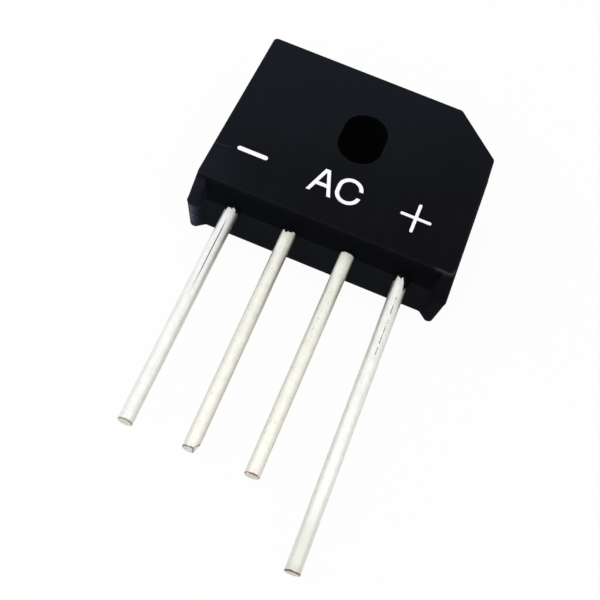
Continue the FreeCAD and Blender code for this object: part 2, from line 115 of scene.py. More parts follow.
def mesh_piece(name, points, faces, attributes=()):
    """Makes one smooth piece from points in millimetres and quad indices, and lets it ride on the part.

    Corners that share a place, as at a pole, are merged, and faces that have shrunk to a line are dropped.
    """
    mesh = bpy.data.meshes.new(name)
    mesh.from_pydata((points * MM).tolist(), [], faces.tolist())
    for title, values in attributes:
        attribute = mesh.attributes.new(title, "FLOAT", "POINT")
        attribute.data.foreach_set("value", values.astype(np.float32).ravel())
    work = bmesh.new()
    work.from_mesh(mesh)
    bmesh.ops.remove_doubles(work, verts=work.verts, dist=2e-7)
    bmesh.ops.recalc_face_normals(work, faces=work.faces)
    work.to_mesh(mesh)
    work.free()
    mesh.polygons.foreach_set("use_smooth", np.ones(len(mesh.polygons), bool))
    piece = bpy.data.objects.new(name, mesh)
    bpy.context.scene.collection.objects.link(piece)
    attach(piece, "root")
    return piece


def grid_faces(rows, columns, rows_closed, columns_closed):
    """Gives the quads of a grid as indices, each from row i and i + 1 and column j and j + 1."""
    index = np.arange(rows * columns).reshape(rows, columns)
    if rows_closed:
        index = np.vstack([index, index[:1]])
    if columns_closed:
        index = np.hstack([index, index[:, :1]])
    corners = (index[:-1, :-1], index[:-1, 1:], index[1:, 1:], index[1:, :-1])
    return np.stack(corners, axis=-1).reshape(-1, 4)


# Moulded case

def rounded_outline(corners, radii, arc_steps, line_steps):
    """Rounds each corner of closed outlines and returns the points in order, one row per outline.

    A corner's arc has its centre on the corner's bisector, radius / sin(half angle) away, and its points
    turn evenly from the foot of the one side to the foot of the other. Straight runs are divided evenly.
    """
    back = np.roll(corners, 1, axis=1) - corners
    ahead = np.roll(corners, -1, axis=1) - corners
    back = back / np.linalg.norm(back, axis=2, keepdims=True)
    ahead = ahead / np.linalg.norm(ahead, axis=2, keepdims=True)
    cosine = np.clip((back * ahead).sum(axis=2), -0.9999999, 0.9999999)
    half = np.arccos(cosine) / 2
    reach = radii / np.tan(half)
    bisector = back + ahead
    length = np.linalg.norm(bisector, axis=2, keepdims=True)
    bisector = np.where(length > 1e-6, bisector / np.maximum(length, 1e-9), 0)
    centre = corners + bisector * (radii / np.sin(half))[..., None]
    start = corners + back * reach[..., None]
    end = corners + ahead * reach[..., None]
    first = (start - centre) / radii[..., None]
    last = (end - centre) / radii[..., None]
    turn = math.pi - 2 * half
    t = np.linspace(0, 1, arc_steps + 1)[:, None, None]
    small = turn < 1e-4
    safe = np.where(small, 1.0, np.sin(turn))
    weight_first = np.where(small, 1 - t, np.sin((1 - t) * turn) / safe)
    weight_last = np.where(small, t, np.sin(t * turn) / safe)
    arcs = centre + radii[..., None] * (weight_first[..., None] * first + weight_last[..., None] * last)
    following = np.roll(start, -1, axis=1)
    pieces = []
    for corner, steps in enumerate(line_steps):
        pieces.append(arcs[:, :, corner].transpose(1, 0, 2))
        inner = np.linspace(0, 1, steps + 1)[1:-1, None]
        pieces.append(end[:, corner, None] * (1 - inner) + following[:, corner, None] * inner)
    return np.concatenate(pieces, axis=1)


def blend(first, second, share):
    """Goes evenly from the first value to the second as the share goes from 0 to 1."""
    return first + (second - first) * share


def case_outline(height, inset):
    """Gives the case's outline at each height, moved inwards by each inset.

    The outline runs straight from the back to the parting plane and from there to the marked face. A foot
    is the stretch beyond the recess floor. Its inner wall leaves the floor at the root with slope s, and
    an inset d moves the root outwards by d (sqrt(1 + s^2) - s). At the marked face a foot has shrunk to
    nothing.
    """
    front = np.clip((height - PARTING_HEIGHT) / (CASE_THICKNESS - PARTING_HEIGHT), 0, 1)
    back = np.clip(1 - height / PARTING_HEIGHT, 0, 1)
    side = CASE_WIDTH / 2 - FRONT_INSET_SIDE * front - BACK_INSET * back - inset
    far = CASE_HEIGHT - FRONT_INSET_FAR * front - BACK_INSET * back - inset
    lean = RECESS_LEAN * (front + back)
    projection = blend(FOOT_PROJECTION, FOOT_BACK_PROJECTION, back)
    slope = 3 * blend(FOOT_TAPER, FOOT_BACK_TAPER, back) / (3 * projection + lean)
    reach = np.maximum(projection * (1 - front) + RECESS_LEAN * back, 0.004)
    floor = lean + inset
    foot = floor - reach
    root = blend(FOOT_ROOT, FOOT_BACK_ROOT, back) + inset * (np.hypot(1, slope) - slope)
    tip = root + slope * reach
    cut = CORNER_CUT - (2 - math.sqrt(2)) * inset
    corners = np.stack([
        np.stack([-side, foot], axis=-1),
        np.stack([-tip, foot], axis=-1),
        np.stack([-root, floor], axis=-1),
        np.stack([root, floor], axis=-1),
        np.stack([tip, foot], axis=-1),
        np.stack([side, foot], axis=-1),
        np.stack([side, far - cut], axis=-1),
        np.stack([side - cut, far], axis=-1),
        np.stack([-side, far], axis=-1),
    ], axis=1)
    tip_round = np.minimum(np.maximum(FOOT_TIP_RADIUS - inset, 0.02), reach * 0.3)
    root_round = np.minimum(FOOT_ROOT_RADIUS + inset, reach * 0.6)
    outer_round = blend(FOOT_CORNER_RADIUS, FOOT_BACK_RADIUS, back) - inset
    outer_round = np.minimum(np.maximum(outer_round, 0.03), (side - tip) * 0.8)
    far_round = np.maximum(FAR_CORNER_RADIUS - inset, 0.05)
    radii = np.stack([outer_round, tip_round, root_round, root_round, tip_round, outer_round,
                      far_round, far_round, far_round], axis=1)
    outline = rounded_outline(corners, radii, 8, (3, 3, 40, 3, 3, 26, 12, 36, 34))
    outline[..., 1] -= SLOT_CENTRE
    return outline


def slot_outline(angle, growth):
    """Gives the point of the slot's outline, grown by some millimetres, on the ray at each angle.

    The ray meets a straight side where its height there is within the side, and else a half-round end.
    """
    radius = SLOT_WIDTH / 2 + growth
    straight = (SLOT_LENGTH - SLOT_WIDTH) / 2
    cosine, sine = np.cos(angle), np.sin(angle)
    to_side = radius / np.maximum(np.abs(cosine), 1e-6)
    middle = np.abs(sine) * straight
    to_end = middle + np.sqrt(np.maximum(middle ** 2 - straight ** 2 + radius ** 2, 0))
    distance = np.where(np.abs(sine) * to_side <= straight, to_side, to_end)
    return np.stack([cosine * distance, sine * distance], axis=-1)


def wall_section():
    """Gives the height and inset of each row of the side wall, from the marked face to the back.

    The rows go over the rounded front edge, down the wall past the parting ridge, a bell curve of the
    height, and round the back edge. The first and last lie on the flat faces.
    """
    fade = np.linspace(-2.2, 2.2, 9)
    front_edge_height = CASE_THICKNESS - FRONT_EDGE_RADIUS * (1 - np.cos(QUARTER_TURN))
    front_edge_inset = FRONT_EDGE_RADIUS * (1 - np.sin(QUARTER_TURN))
    back_edge_height = BACK_EDGE_RADIUS * (1 - np.sin(QUARTER_TURN))
    back_edge_inset = BACK_EDGE_RADIUS * (1 - np.cos(QUARTER_TURN))
    ridge_height = PARTING_HEIGHT - fade * PARTING_RIDGE_WIDTH
    ridge_inset = -PARTING_RIDGE * np.exp(-fade ** 2)
    front_wall = np.linspace(CASE_THICKNESS - FRONT_EDGE_RADIUS, ridge_height[0], 5)[1:-1]
    back_wall = np.linspace(ridge_height[-1], BACK_EDGE_RADIUS, 6)[1:-1]
    height = np.concatenate([
        [CASE_THICKNESS] * 2, front_edge_height, front_wall, ridge_height, back_wall,
        back_edge_height, [0.0] * 2])
    inset = np.concatenate([
        [FRONT_EDGE_RADIUS + SUPPORT * 6, FRONT_EDGE_RADIUS + SUPPORT], front_edge_inset,
        front_wall * 0, ridge_inset, back_wall * 0, back_edge_inset,
        [BACK_EDGE_RADIUS + SUPPORT, BACK_EDGE_RADIUS + SUPPORT * 3]])
    return height, inset


def wall_wear_and_highlight(height, inset):
    """Tells each row's share of wear and painted highlight: a bell curve over each edge, and the whole ridge.
    """
    front_edge = np.exp(-((inset - FRONT_EDGE_RADIUS * 0.60) / 0.06) ** 2) * (height > CASE_THICKNESS - 0.2)
    back_edge = np.exp(-((inset - BACK_EDGE_RADIUS * 0.35) / 0.09) ** 2) * (height < 0.2)
    return front_edge + back_edge + np.clip(-inset / PARTING_RIDGE, 0, 1)


def back_ring():
    """Gives the ring on the back face where the rays to the slot begin.

    It is the outline moved inwards, with its lower side drawn to one straight line and the points there
    spread evenly along it, so that no two rays cross.
    """
    ring = case_outline(np.array([0.0]), np.array([BACK_RING_INSET]))[0]
    line = RECESS_LEAN + BACK_RING_LINE - SLOT_CENTRE
    lower = ring[:, 1] < line
    run = np.cumsum(np.linalg.norm(np.diff(ring, axis=0, prepend=ring[:1]), axis=1))
    first, last = np.flatnonzero(lower)[[0, -1]]
    share = (run - run[first]) / (run[last] - run[first])
    ring[:, 0] = np.where(lower, blend(ring[first, 0], ring[last, 0], share), ring[:, 0])
    ring[:, 1] = np.where(lower, line, ring[:, 1])
    return ring


def raised(outline, height):
    """Raises a flat outline to a height."""
    return np.concatenate([outline, np.full((len(outline), 1), height)], axis=1)


def case_surface():
    """Works out the case as one closed ring surface, round its outline and round its section.

    The first parameter goes round the outline. The second goes from the slot over the marked face, down
    the side wall, over the back face and up through the slot. On a face a point moves along the ray from
    the slot's middle. Each row comes with its share of wear and painted edge highlight.
    """
    height, inset = wall_section()
    wall = case_outline(height, inset)
    count = wall.shape[1]
    wall = np.concatenate([wall, np.repeat(height[:, None, None], count, axis=1)], axis=2)

    # over the marked face, along rays whose angles never turn back
    angle = np.unwrap(np.arctan2(wall[0, :, 1], wall[0, :, 0]))
    angle = np.maximum.accumulate(angle + np.linspace(0, 1, count) * 1e-7)
    rim = slot_outline(angle, SLOT_EDGE_RADIUS + SUPPORT)
    rows = [raised(blend(rim, wall[0, :, :2], share), CASE_THICKNESS) for share in (0.45, 0.7, 0.93)]
    wear_and_highlight = [0.0] * len(rows)
    rows += list(wall)
    wear_and_highlight += list(wall_wear_and_highlight(height, inset))

    # over the back face, where each foot is first filled straight in to the line of the recess floor
    floor_line = RECESS_LEAN + inset[-1] - SLOT_CENTRE
    rows.append(np.stack([wall[-1][:, 0], np.maximum(wall[-1][:, 1], floor_line), wall[-1][:, 2]], axis=1))
    ring = back_ring()
    back_angle = np.unwrap(np.arctan2(ring[:, 1], ring[:, 0]))
    back_rim = slot_outline(back_angle, SLOT_EDGE_RADIUS + SUPPORT)
    rows += [raised(blend(back_rim, ring, share), 0.0) for share in (1.0, 0.75, 0.5, 0.25, 0.0)]
    wear_and_highlight += [0.0] * 6

    # up through the slot, the angles turning evenly from the back's to the front's
    edge_growth = SLOT_EDGE_RADIUS * (1 - np.sin(QUARTER_TURN))
    edge_drop = SLOT_EDGE_RADIUS * (1 - np.cos(QUARTER_TURN))
    levels = np.linspace(SLOT_EDGE_RADIUS, CASE_THICKNESS - SLOT_EDGE_RADIUS, 7)[1:-1]
    rows += [raised(slot_outline(back_angle, growth), drop) for growth, drop in zip(edge_growth, edge_drop)]
    wear_and_highlight += [0.5] * len(edge_drop)
    rows += [raised(slot_outline(blend(back_angle, angle, level / CASE_THICKNESS), 0), level)
             for level in levels]
    wear_and_highlight += [0.0] * len(levels)
    rows += [raised(slot_outline(angle, growth), CASE_THICKNESS - drop)
             for growth, drop in zip(edge_growth[::-1], edge_drop[::-1])]
    wear_and_highlight += [0.6] * len(edge_drop)
    rows.append(raised(rim, CASE_THICKNESS))
    wear_and_highlight.append(0.0)
    return np.array(rows), np.array(wear_and_highlight)


case_grid, case_wear_and_highlight = case_surface()
case_rows, case_columns = case_grid.shape[:2]
case = mesh_piece(
    "moulded_case", case_grid.reshape(-1, 3), grid_faces(case_rows, case_columns, True, True),
    attributes=[("wear_and_highlight", np.repeat(case_wear_and_highlight, case_columns))])
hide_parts("moulded_body")


# Leads

def lead_axes(lean):
    """Gives the directions along a lead, across it in the parting plane, and up."""
    turn = math.radians(lean)
    return (np.array([math.sin(turn), -math.cos(turn), 0.0]), np.array([math.cos(turn), math.sin(turn), 0.0]),
            np.array([0.0, 0.0, 1.0]))


def cut_height(across, up, radius, cut):
    """Gives how far the cut end stands out at a place across the wire and up it, in millimetres.

    The end is two flats that fall back from a ridge, max(0, ridge - x) to the left and max(0, x - ridge)
    to the right, each times its own slope, and both lean with the height.
    """
    ridge, left_fall, right_fall, overhang = cut
    place = across - ridge * radius
    return overhang * up - left_fall * np.maximum(-place, 0) - right_fall * np.maximum(place, 0)


def lead_surface(place, lean, length, seed, cut):
    """Works out a lead: a circle carried along its axis, coined flat inside the case and closed at its ends.

    The radius swells and shrinks by a few thousandths as slow sine waves along the wire. Over the last
    millimetre the rings take on the shape of the cut end, by a share that rises from 0 to 1. The points
    come with their distance from the tip, which goes below 0 over the cut face, and with their distance
    from the cut's ridge and from the wire's middle, as shares of the radius.
    """
    along, across, up = lead_axes(lean)
    coined = np.array([-LEAD_SEAT - COINED_LENGTH] * 2 + [-LEAD_SEAT - 0.01] * 2)
    barrel = np.concatenate([[-LEAD_SEAT, 0.2], np.linspace(0.5, length - 1.2, 60),
                             length - np.geomspace(1.0, 0.06, 14)])
    rim_back = WIRE_RIM_RADIUS * (1 - np.sin(QUARTER_TURN))
    rim_radius = LEAD_RADIUS - WIRE_RIM_RADIUS * (1 - np.cos(QUARTER_TURN))
    end_radius = np.linspace(LEAD_RADIUS - WIRE_RIM_RADIUS, 0, 12)[1:]
    station = np.concatenate([coined, barrel, length - rim_back, np.full(len(end_radius), length)])
    radius = np.concatenate([[0, 1, 1, LEAD_RADIUS], np.full(len(barrel), LEAD_RADIUS), rim_radius, end_radius])
    from_tip = np.concatenate([length - coined, length - barrel, rim_back, end_radius - LEAD_RADIUS])
    swell = 1 + 0.004 * np.sin(station * 1.7 + seed) + 0.003 * np.sin(station * 3.9 + 2 * seed)
    swell -= LEAD_THINNING * np.clip(station / length, 0, 1)
    angle = np.linspace(0, 2 * math.pi, 48, endpoint=False)
    ripple = 1 + 0.003 * np.sin(2 * angle[None] + station[:, None] * 0.8 + seed)
    spread = (radius * swell)[:, None] * ripple
    flat = (station < -LEAD_SEAT)[:, None]
    half_width = np.where(flat, COINED_WIDTH / 2, 1)
    half_height = np.where(flat, COINED_THICKNESS / 2, 1)
    beside = np.clip(spread * np.cos(angle), -half_width, half_width)
    above = np.clip(spread * np.sin(angle), -half_height, half_height)
    share = np.clip(1 - from_tip, 0, 1)[:, None]
    reach = station[:, None] + share * cut_height(beside, above, LEAD_RADIUS, cut)
    centre = np.array([place, -SLOT_CENTRE, PARTING_HEIGHT])
    points = centre + reach[..., None] * along + beside[..., None] * across + above[..., None] * up
    from_ridge = (beside - cut[0] * LEAD_RADIUS) / LEAD_RADIUS
    return points, np.repeat(from_tip, len(angle)), from_ridge.ravel(), (beside / LEAD_RADIUS).ravel()


wire_pieces = []
for number, (node, place, lean, length) in enumerate(LEADS):
    grid, from_tip, from_ridge, beside = lead_surface(place, lean, length, number * 1.9, CUTS[number])
    kept = [("from_tip", from_tip), ("from_ridge", from_ridge), ("beside", beside)]
    piece = mesh_piece("wire_" + node[5:], grid.reshape(-1, 3), grid_faces(*grid.shape[:2], False, True),
                       attributes=kept)
    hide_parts(node)
    wire_pieces.append(piece)


def collar_surface(place, lean, reach, thickness, seed, lobe_angle, lobe_reach):
    """Works out the resin that crept along a lead: a thin sleeve with a ragged outer edge.

    Round the wire the sleeve's length is its mean reach times one plus a sum of sine waves, and a lobe is
    added at one angle as exp(-(turn / 0.45)^2), itself broken up by a sine wave. The sleeve's section is
    given as how far it has reached and how thick it stands there, as shares of its length and thickness.
    """
    along, across, up = lead_axes(lean)
    angle = np.linspace(0, 2 * math.pi, 96, endpoint=False)
    ragged = (0.40 * np.sin(3 * angle + seed) + 0.32 * np.sin(8 * angle + 2.3 * seed)
              + 0.16 * np.sin(17 * angle + 0.7 * seed))
    turn = np.angle(np.exp(1j * (angle - math.radians(lobe_angle))))
    lobe = np.exp(-(turn / 0.45) ** 2) * (1 + 0.35 * np.sin(9 * angle + seed))
    length = reach * np.clip(1 + ragged, 0.15, 2.4) + lobe_reach * lobe
    reached, stood = np.array([(-0.3, 1.0), (0.0, 1.0), (0.45, 0.9), (0.8, 0.7), (1.0, 0.25), (0.9, -0.25),
                               (-0.3, -0.25)]).T[..., None]
    station = np.where(reached < 0, reached, reached * length)
    radius = LEAD_RADIUS * 1.008 + thickness * (1 + 0.6 * lobe) * stood
    centre = np.array([place, -SLOT_CENTRE, PARTING_HEIGHT])
    return (centre + station[..., None] * along + (radius * np.cos(angle))[..., None] * across
            + (radius * np.sin(angle))[..., None] * up)


# Each lead's collar: mean reach, thickness, seed, then the angle and the reach of its lobe
COLLARS = (
    (0.30, 0.04, 0.6, 60, 0.10),
    (0.16, 0.07, 2.1, 95, 0.22),
    (0.05, 0.03, 4.0, 200, 0.05),
    (0.46, 0.06, 5.2, 38, 0.75),
)
collar_pieces = []
for (node, place, lean, length), collar in zip(LEADS, COLLARS):
    grid = collar_surface(place, lean, *collar)
    faces = grid_faces(*grid.shape[:2], True, True)
    collar_pieces.append(mesh_piece("resin_" + node[5:], grid.reshape(-1, 3), faces))


# Materials

class Socket:
    """A node's output that takes part in Python expressions; each operator adds one Math node."""

    def __init__(self, shader, link):
        self.shader, self.link = shader, link

    def maths(self, operation, *values):
        """Adds a Math node with this socket first."""
        inputs = dict(enumerate((self,) + values))
        return self.shader.node("ShaderNodeMath", {"operation": operation}, inputs)

    def __add__(self, other):
        return self.maths("ADD", other)

    __radd__ = __add__

    def __mul__(self, other):
        return self.maths("MULTIPLY", other)

    def __sub__(self, other):
        return self.maths("SUBTRACT", other)

    def __rsub__(self, other):
        return (self * -1) + other

    def __pow__(self, other):
        return self.maths("POWER", other)

    def __abs__(self):
        return self.maths("ABSOLUTE")

    def step(self, low, high):
        """Rises smoothly from 0 where this is low to 1 where it is high."""
        settings = {"interpolation_type": "SMOOTHSTEP"}
        return self.shader.node("ShaderNodeMapRange", settings,
                                {"Value": self, "From Min": low, "From Max": high}, "Result")

    def band(self, middle, width):
        """Is 1 where this equals the middle and fades to 0 a width away."""
        return 1 - abs(self - middle).step(0, width)


class Nodes:
    """A node tree and the ways to add nodes to it."""

    def __init__(self, tree):
        self.tree = tree

    def node(self, kind, settings=None, inputs=None, output=0):
        """Adds a node, sets its settings, then its inputs by name or number, and returns one output.

        A tuple of outputs gives a list of them.
        """
        node = self.tree.nodes.new(kind)
        for title, value in (settings or {}).items():
            setattr(node, title, value)
        for title, value in (inputs or {}).items():
            socket = node.inputs[title]
            if isinstance(value, Socket):
                self.tree.links.new(value.link, socket)
            else:
                socket.default_value = value
        if isinstance(output, tuple):
            return [Socket(self, node.outputs[one]) for one in output]
        return Socket(self, node.outputs[output])

    def seen_by(self, **shares):
        """Adds up shares of the kinds of ray that see this directly, to 1 at most."""
        seen = self.node("ShaderNodeLightPath", output=tuple("Is %s Ray" % kind for kind in shares))
        total = sum(ray * share for ray, share in zip(seen, shares.values()))
        return total.maths("MINIMUM", 1.0)


class Shader(Nodes):
    """One material's node tree, with a Principled shader at its end."""

    def __init__(self, name, **constants):
        self.material = bpy.data.materials.new(name)
        self.material.use_nodes = True
        super().__init__(self.material.node_tree)
        self.principled = self.tree.nodes["Principled BSDF"]
        for title, value in constants.items():
            self.principled.inputs[title.replace("_", " ")].default_value = value

    def place(self, scale=(1, 1, 1), turn=(0, 0, 0)):
        """Gives the object's own coordinates in millimetres, scaled and turned."""
        source = self.node("ShaderNodeTexCoord", output="Object")
        scale = tuple(1000 * s for s in scale)
        return self.node("ShaderNodeMapping", inputs={"Vector": source, "Scale": scale, "Rotation": turn})

    def parts(self, vector):
        """Gives a vector's three parts."""
        return self.node("ShaderNodeSeparateXYZ", inputs={0: vector}, output=(0, 1, 2))

    def noise(self, where, scale, detail=2.0, roughness=0.5):
        """Gives smooth noise between 0 and 1 with features about 1 / scale millimetres wide."""
        return self.node("ShaderNodeTexNoise", inputs={
            "Vector": where, "Scale": scale, "Detail": detail, "Roughness": roughness})

    def attribute(self, name):
        """Reads one number that the mesh keeps at its points."""
        return self.node("ShaderNodeAttribute", {"attribute_name": name}, output="Fac")

    def mix(self, factor, first, second):
        """Mixes two colours."""
        return self.node("ShaderNodeMix", {"data_type": "RGBA", "clamp_factor": True},
                         {"Factor": factor, 6: colour(first), 7: colour(second)}, 2)

    def layered(self, base, layers):
        """Lays colours over a base one after the other, each given as its share and its tone."""
        for share, tone in layers:
            base = self.mix(share, base, tone)
        return base

    def bump(self, height, strength, distance):
        """Turns a height between 0 and 1 into a normal; the distance is in metres."""
        return self.node("ShaderNodeBump", inputs={
            "Height": height, "Strength": strength, "Distance": distance})

    def finish(self, **inputs):
        """Links what changes over the surface to the shader and returns the material."""
        for title, value in inputs.items():
            self.tree.links.new(value.link, self.principled.inputs[title.replace("_", " ")])
        return self.material


def colour(value):
    """Adds the alpha that a colour socket wants."""
    return value if isinstance(value, Socket) else (*value, 1.0)


def moulding_compound():
    """Matt black epoxy: cloudy blue-black, fine grain, a faint light line on its edges that is partly wear and
    partly a painted highlight, one hairline crease.

    Painted light makes it lighter and greener towards the far left corner and lightens a patch near the left
    foot. Painted shade darkens the recess wall above the parting line and the slot's wall, painted light
    lightens the recess wall below the parting line, and the left foot's end carries a painted highlight and
    painted light with specks as of scuffs.
    """
    shader = Shader("black_epoxy", Specular_IOR_Level=0.015)
    where = shader.place()
    clouds = shader.noise(where, 0.16, 3.0)
    streaks = shader.noise(shader.place((0.6, 0.15, 0.6)), 1.0, 2.0)
    grain = shader.noise(where, 9.0, 2.0)
    fine = shader.noise(where, 26.0, 2.0)
    # wear and a painted highlight: a faint light line on the rubbed edges, the parting ridge and the slot's
    # rims
    rubbed_and_highlit = shader.attribute("wear_and_highlight") * (0.45 + shader.noise(where, 2.5, 3.0).step(0.35, 0.75) * 0.55)
    x, y, z = shader.parts(where)
    from_floor = y + SLOT_CENTRE
    crease = crease_mask(x, y, z)
    # painted light: the base colour grows lighter and greener towards the far left corner
    painted_light_towards_corner = (y - x * 0.5 + (clouds - 0.5) * 12).step(-16, 14)
    # painted light: a lighter bluish patch on the case near the left foot
    painted_light_near_left_foot = (x * -1).step(7.5, 10.6) * (1 - from_floor.step(1.5, 5.0))
    recess_wall = from_floor.band(0.03, 0.16)
    # painted shade: the recess wall above the parting line is darkened
    painted_shade_upper_wall = recess_wall * z.step(PARTING_HEIGHT - 0.02, PARTING_HEIGHT + 0.06)
    # painted light: the recess wall below the parting line is lightened
    painted_light_lower_wall = recess_wall * (1 - z.step(PARTING_HEIGHT - 0.06, PARTING_HEIGHT + 0.02))
    # painted highlight with wear: the right end of the front edge is much lighter
    corner_rubbed_and_highlit = rubbed_and_highlit * x.step(9.2, 9.9) * (1 - from_floor.step(0.3, 0.8)) * z.step(6.5, 6.7)
    body = shader.mix(painted_light_towards_corner, (0.0052, 0.0050, 0.0070), (0.0092, 0.0118, 0.0148))
    body = shader.layered(body, (
        (streaks.step(0.45, 0.75) * 0.3, (0.0088, 0.0098, 0.0125)),
        (painted_light_near_left_foot * 0.6, (0.0135, 0.0140, 0.0215)),
        (fine.step(0.60, 0.78) * 0.30, (0.0140, 0.0155, 0.0180)),
        (painted_shade_upper_wall * 0.8, (0.0014, 0.0018, 0.0026)),
        (painted_light_lower_wall * 0.5, (0.0080, 0.0110, 0.0135)),
        (rubbed_and_highlit * 0.25, (0.030, 0.034, 0.038)),
        (corner_rubbed_and_highlit, (0.060, 0.068, 0.076)),
        # painted shade: the slot's wall is darkened
        (painted_shade_in_slot(x, y) * 0.9, (0.0010, 0.0011, 0.0014)),
        # painted light and a painted highlight on the left foot's end, with specks as of scuffs
        (scuffs_and_painted_highlight(shader, where, x, y, z), (0.075, 0.085, 0.115)),
        (crease, (0.026, 0.027, 0.034)),
    ))
    rough = 0.62 + grain * 0.10 + clouds * 0.08 - rubbed_and_highlit * 0.10
    height = grain * 0.5 + fine * 0.3 - crease * 1.5
    return shader.finish(Base_Color=body, Roughness=rough, Normal=shader.bump(height, 0.35, 0.00003))


def scuffs_and_painted_highlight(shader, where, x, y, z):
    """Is up to 1 where the left foot's end below the parting line carries painted light and a painted
    highlight, most at its outer side, patchy, with specks as of scuffs.
    """
    end = (-SLOT_CENTRE - y).step(0.10, 0.40) * (1 - z.step(PARTING_HEIGHT - 0.12, PARTING_HEIGHT))
    outer = (x * -1).step(10.15, 11.0)
    patches = shader.noise(where, 1.4, 4.0).step(0.30, 0.75)
    specks = shader.noise(where, 4.0, 2.0).step(0.58, 0.66)
    # painted highlight: a vertical streak on the foot's rounded outer corner
    painted_highlight_streak = x.band(-11.05, 0.28) * z.step(0.4, 1.6)
    return end * outer * (0.20 + patches * 0.40 + painted_highlight_streak * 0.60 + specks * 1.1)


def painted_shade_in_slot(x, y):
    """Is 1 on the slot's wall, where painted shade darkens the case: no further from the slot's middle line
    than its half width.
    """
    beyond = (abs(y) - (SLOT_LENGTH - SLOT_WIDTH) / 2).maths("MAXIMUM", 0.0)
    away = (x * x + beyond * beyond) ** 0.5
    return 1 - away.step(SLOT_WIDTH / 2 + 0.01, SLOT_WIDTH / 2 + 0.07)


def crease_mask(x, y, z):
    """Is 1 on a hairline that runs in from the left edge of the marked face, below the minus sign's level."""
    start, end = (-10.95, 3.55 - SLOT_CENTRE), (-9.35, 3.74 - SLOT_CENTRE)
    slope = (end[1] - start[1]) / (end[0] - start[0])
    off_line = y - ((x - start[0]) * slope + start[1])
    along = x.step(start[0] - 0.3, start[0]) * (1 - x.step(end[0] - 0.5, end[0]))
    return off_line.band(0, 0.06) * along * z.step(CASE_THICKNESS - 0.3, CASE_THICKNESS - 0.05)


# Each lead's coat, then its cut end: the cut face, the sheared rim over it, which painted shade darkens most
# at its top, the bared copper above the rim and its share
TIN_TONES = ((0.94, 0.95, 0.93), (0.94, 0.94, 0.86), (0.94, 0.94, 0.85), (0.95, 0.95, 0.92))
CUT_TONES = (
    ((0.78, 0.79, 0.73), (0.27, 0.240, 0.20), (0.88, 0.83, 0.80), 0.40),
    ((0.84, 0.82, 0.78), (0.16, 0.130, 0.09), (0.88, 0.80, 0.76), 0.50),
    ((0.74, 0.73, 0.60), (0.10, 0.068, 0.048), (0.96, 0.80, 0.79), 0.70),
    ((0.78, 0.71, 0.64), (0.07, 0.048, 0.032), (0.74, 0.65, 0.58), 0.75),
)
# The dark line along the top of each lead: place across the top and half width as shares
# of the radius, where it begins and ends from the case and how slowly it fades out, in millimetres, how
# broken up it is and how dark
DARK_TOP_LINES = (
    (0.07, 0.12, 1.0, 10.0, 4.5, 0.0, 1.0),
    (-0.40, 0.16, 2.0, 15.0, 5.0, 0.7, 0.16),
    (-0.22, 0.16, 3.0, 13.0, 5.0, 0.7, 0.14),
    (0.12, 0.09, 1.2, 8.4, 0.8, 1.0, 1.0),
)
# How strongly painted shade darkens each lead's flanks, and how speckled its whole coat is
FLANK_PAINTED_SHADE = (0.50, 1.0, 0.85, 0.50)
SPECKLED = (0.30, 0.55, 0.50, 0.30)
# How much each lead's coat dulls over its last millimetres, and how far copper warms it along one side
DULL_END = (0.15, 0.0, 0.0, 0.9)
THIN_TIN = (0.0, 0.6, 0.25, 0.35)
# How far from its middle each lead is frosted by the case, as a share of the radius
FROSTED_REACH = (0.45, 0.65, 0.70, 0.45)


def dark_top_line(shader, number, beside, from_root, z):
    """Is up to 1 on the dark line along the top of a lead."""
    place, width, begin, end, fading, broken, dark = DARK_TOP_LINES[number]
    line = beside.band(place, width) * z.step(PARTING_HEIGHT, PARTING_HEIGHT + 0.1)
    line = line * from_root.step(begin, begin + 1.5) * (1 - from_root.step(end - fading, end))
    gaps = shader.noise(shader.place((0.1, 3.4, 0.1)), 1.0, 2.0).step(0.44, 0.54)
    return line * (1 - gaps * broken) * dark


def sheared_rim_and_shade(shader, number, where, z, from_tip, cut_face):
    """Is up to 1 on the ragged rim of a cut end, with painted shade making it most at its top, and along the
    ridge of the cut.
    """
    # painted shade: the rim is darker at its top
    painted_shade_top = z.step(PARTING_HEIGHT - 0.25, PARTING_HEIGHT + 0.25)
    ragged = shader.noise(where, 3.2, 3.0).step(0.30, 0.62)
    rim_and_shade = from_tip.band(0.03, 0.14) * (0.15 + painted_shade_top * 0.85) * (0.20 + ragged * 0.80)
    if CUTS[number][0]:
        from_ridge = shader.attribute("from_ridge")
        rim_and_shade = rim_and_shade.maths("MAXIMUM", from_ridge.band(0.0, 0.16) * cut_face * 0.45)
    return rim_and_shade.step(0.0, 0.6)


